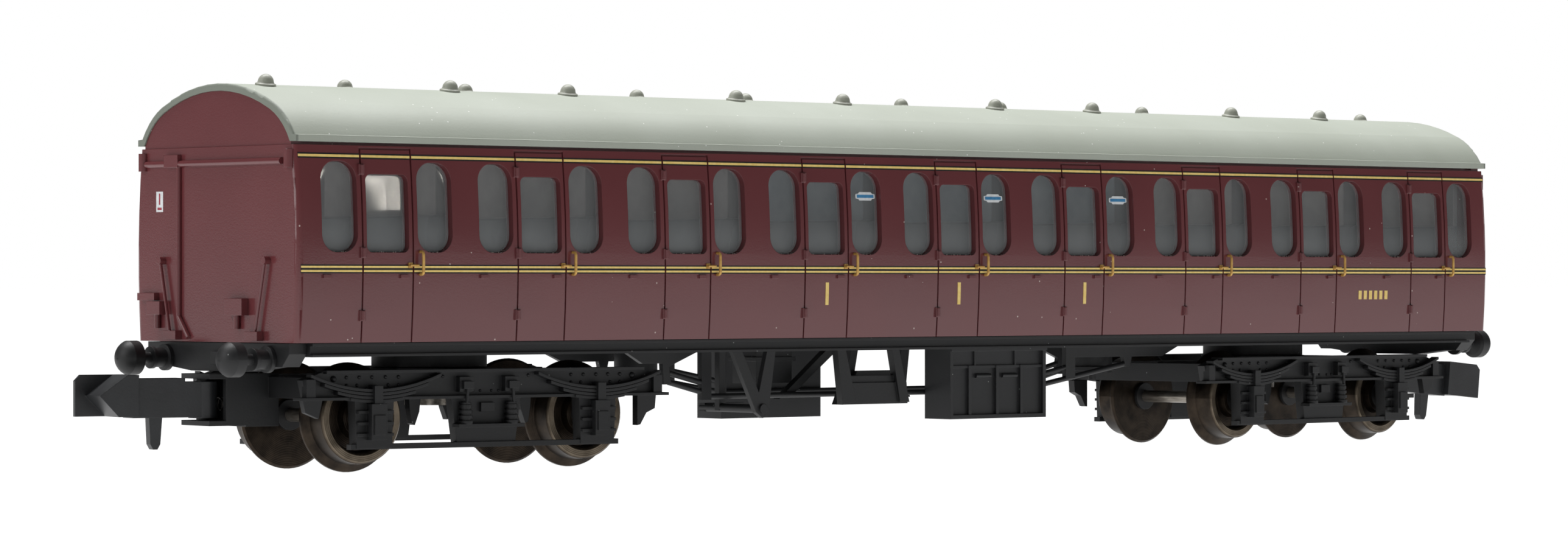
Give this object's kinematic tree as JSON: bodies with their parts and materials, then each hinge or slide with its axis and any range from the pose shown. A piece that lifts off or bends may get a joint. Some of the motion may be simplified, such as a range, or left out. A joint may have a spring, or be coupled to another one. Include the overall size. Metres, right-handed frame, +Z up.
{
  "type": "model railway passenger coach",
  "caption": "N gauge model passenger coach with compartment body, glazed windows, underframe, two swivelling bogies, spinning wheelsets and swinging couplers.",
  "frame": {"origin": "centre of the coach in plan, at the level of the wheel flanges' lowest points", "axes": "+X along the coach (front end at -X), +Y across it, +Z up"},
  "size_m": [0.134, 0.0196, 0.0264],
  "materials": {
    "maroon_body": "satin maroon paint on plastic",
    "roof_grey": "matt grey",
    "glazing": "clear styrene",
    "interior_grey": "matt grey moulding",
    "black_plastic": "satin black moulding",
    "steel": "plain turned steel",
    "wheel_metal": "chemically blackened",
    "brass": "brass-coloured paint on plastic"
  },
  "bodies": {
    "coach": {"body_shell": "maroon_body", "roof": "roof_grey", "roof_ventilators_left": "roof_grey", "roof_ventilators_right": "roof_grey", "glazing_left": "glazing", "glazing_right": "glazing", "compartment_interior": "interior_grey", "ballast_plate": "steel", "underframe": "black_plastic", "headstock_front": "black_plastic", "headstock_rear": "black_plastic", "buffer_front_left": "black_plastic", "buffer_front_right": "black_plastic", "buffer_rear_left": "black_plastic", "buffer_rear_right": "black_plastic", "battery_box_left": "black_plastic", "battery_box_right": "black_plastic", "truss_left": "black_plastic", "truss_right": "black_plastic", "equipment_tray_left": "black_plastic", "equipment_tray_right": "black_plastic", "v_hanger_left": "black_plastic", "v_hanger_right": "black_plastic", "grab_handles_left": "brass", "grab_handles_right": "brass", "door_handles_left": "brass", "door_handles_right": "brass", "regulator_box": "black_plastic", "vacuum_cylinders": "black_plastic", "brake_shafts": "black_plastic", "end_fittings_front": "maroon_body", "end_fittings_rear": "maroon_body", "bogie_front_pivot_screw": "steel", "bogie_rear_pivot_screw": "steel"},
    "bogie_front": {"bogie_front_frame": "black_plastic", "bogie_front_side_a": "black_plastic", "bogie_front_side_b": "black_plastic", "bogie_front_brake_shoes": "black_plastic", "bogie_front_coupler_spring": "steel"},
    "coupler_front": {"coupler_front": "black_plastic"},
    "wheelset_front_outer": {"axle_front_outer": "steel", "wheels_front_outer": "wheel_metal", "wheel_bushes_front_outer": "black_plastic"},
    "wheelset_front_inner": {"axle_front_inner": "steel", "wheels_front_inner": "wheel_metal", "wheel_bushes_front_inner": "black_plastic"},
    "bogie_rear": {"bogie_rear_frame": "black_plastic", "bogie_rear_side_a": "black_plastic", "bogie_rear_side_b": "black_plastic", "bogie_rear_brake_shoes": "black_plastic", "bogie_rear_coupler_spring": "steel"},
    "coupler_rear": {"coupler_rear": "black_plastic"},
    "wheelset_rear_outer": {"axle_rear_outer": "steel", "wheels_rear_outer": "wheel_metal", "wheel_bushes_rear_outer": "black_plastic"},
    "wheelset_rear_inner": {"axle_rear_inner": "steel", "wheels_rear_inner": "wheel_metal", "wheel_bushes_rear_inner": "black_plastic"}
  },
  "joints": [
    {"name": "bogie_front_swivel", "type": "hinge", "parent": "coach", "child": "bogie_front", "pos_m": [-0.04109, 0, 0.0065], "axis": [0, 0, 1], "range_deg": [-6.5, 17.5]},
    {"name": "wheelset_front_outer_spin", "type": "hinge", "parent": "bogie_front", "child": "wheelset_front_outer", "pos_m": [-0.0499, 0.00085, 0.00367], "axis": [0.0958, 0.9954, 0], "continuous": true},
    {"name": "wheelset_front_inner_spin", "type": "hinge", "parent": "bogie_front", "child": "wheelset_front_inner", "pos_m": [-0.03228, -0.00085, 0.00367], "axis": [0.0958, 0.9954, 0], "continuous": true},
    {"name": "coupler_front_swing", "type": "hinge", "parent": "bogie_front", "child": "coupler_front", "pos_m": [-0.05861, 0.00169, 0.0046], "axis": [0, 0, 1], "range_deg": [-9, 21], "stiffness_Nm_per_rad": 0.00002},
    {"name": "bogie_rear_swivel", "type": "hinge", "parent": "coach", "child": "bogie_rear", "pos_m": [0.04109, 0, 0.0065], "axis": [0, 0, 1], "range_deg": [-14.8, 9.2]},
    {"name": "wheelset_rear_outer_spin", "type": "hinge", "parent": "bogie_rear", "child": "wheelset_rear_outer", "pos_m": [0.04993, 0.00043, 0.00367], "axis": [-0.0488, 0.9988, 0], "continuous": true},
    {"name": "wheelset_rear_inner_spin", "type": "hinge", "parent": "bogie_rear", "child": "wheelset_rear_inner", "pos_m": [0.03225, -0.00043, 0.00367], "axis": [-0.0488, 0.9988, 0], "continuous": true},
    {"name": "coupler_rear_swing", "type": "hinge", "parent": "bogie_rear", "child": "coupler_rear", "pos_m": [0.05867, 0.00086, 0.0046], "axis": [0, 0, 1], "range_deg": [-7, 23], "stiffness_Nm_per_rad": 0.00002}
  ]
}
